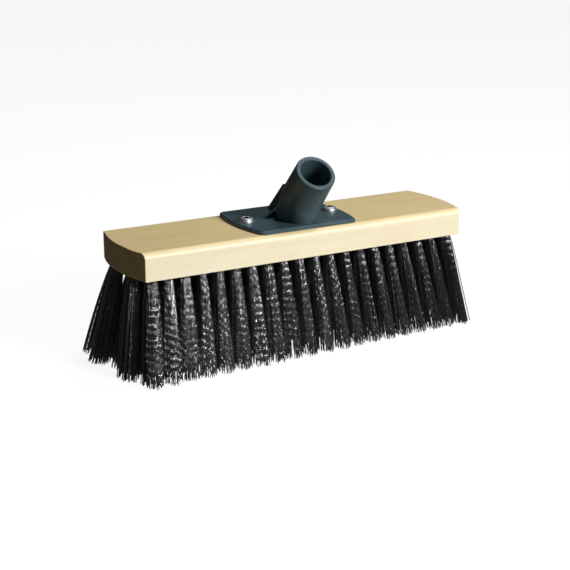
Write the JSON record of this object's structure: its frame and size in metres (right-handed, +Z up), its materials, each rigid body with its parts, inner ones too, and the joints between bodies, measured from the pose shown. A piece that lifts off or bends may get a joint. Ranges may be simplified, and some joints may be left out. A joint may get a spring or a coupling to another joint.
{
  "type": "push broom head",
  "caption": "Broom head with a pale wooden block, splayed black bristle tufts and a leaning plastic socket for a round handle, held by screws.",
  "frame": {"origin": "on the floor under the middle of the block, at the level of the bristle tips", "axes": "+X along the block, +Y to the back away from the handle socket's mouth, +Z up"},
  "size_m": [0.3154, 0.1138, 0.157],
  "materials": {
    "wood": "planed pale hardwood under a thin clear satin lacquer",
    "socket_plastic": "injection-moulded blue-black plastic, satin",
    "screw_zinc": "bright zinc plating",
    "anchor_wire": "plain drawn flat wire",
    "bristle": "crimped black plastic filament, satin"
  },
  "bodies": {
    "root": {"anchors_01": "anchor_wire", "anchors_02": "anchor_wire", "anchors_03": "anchor_wire", "anchors_04": "anchor_wire", "anchors_05": "anchor_wire", "anchors_06": "anchor_wire", "anchors_07": "anchor_wire", "anchors_08": "anchor_wire", "anchors_09": "anchor_wire", "anchors_10": "anchor_wire", "anchors_11": "anchor_wire", "anchors_12": "anchor_wire", "anchors_13": "anchor_wire", "anchors_14": "anchor_wire", "anchors_15": "anchor_wire", "anchors_16": "anchor_wire", "anchors_17": "anchor_wire", "anchors_18": "anchor_wire", "anchors_19": "anchor_wire", "anchors_20": "anchor_wire", "block": "wood", "handle_socket": "socket_plastic", "screw_left": "screw_zinc", "screw_right": "screw_zinc", "tufts_01": "bristle", "tufts_02": "bristle", "tufts_03": "bristle", "tufts_04": "bristle", "tufts_05": "bristle", "tufts_06": "bristle", "tufts_07": "bristle", "tufts_08": "bristle", "tufts_09": "bristle", "tufts_10": "bristle", "tufts_11": "bristle", "tufts_12": "bristle", "tufts_13": "bristle", "tufts_14": "bristle", "tufts_15": "bristle", "tufts_16": "bristle", "tufts_17": "bristle", "tufts_18": "bristle", "tufts_19": "bristle", "tufts_20": "bristle"}
  },
  "joints": []
}
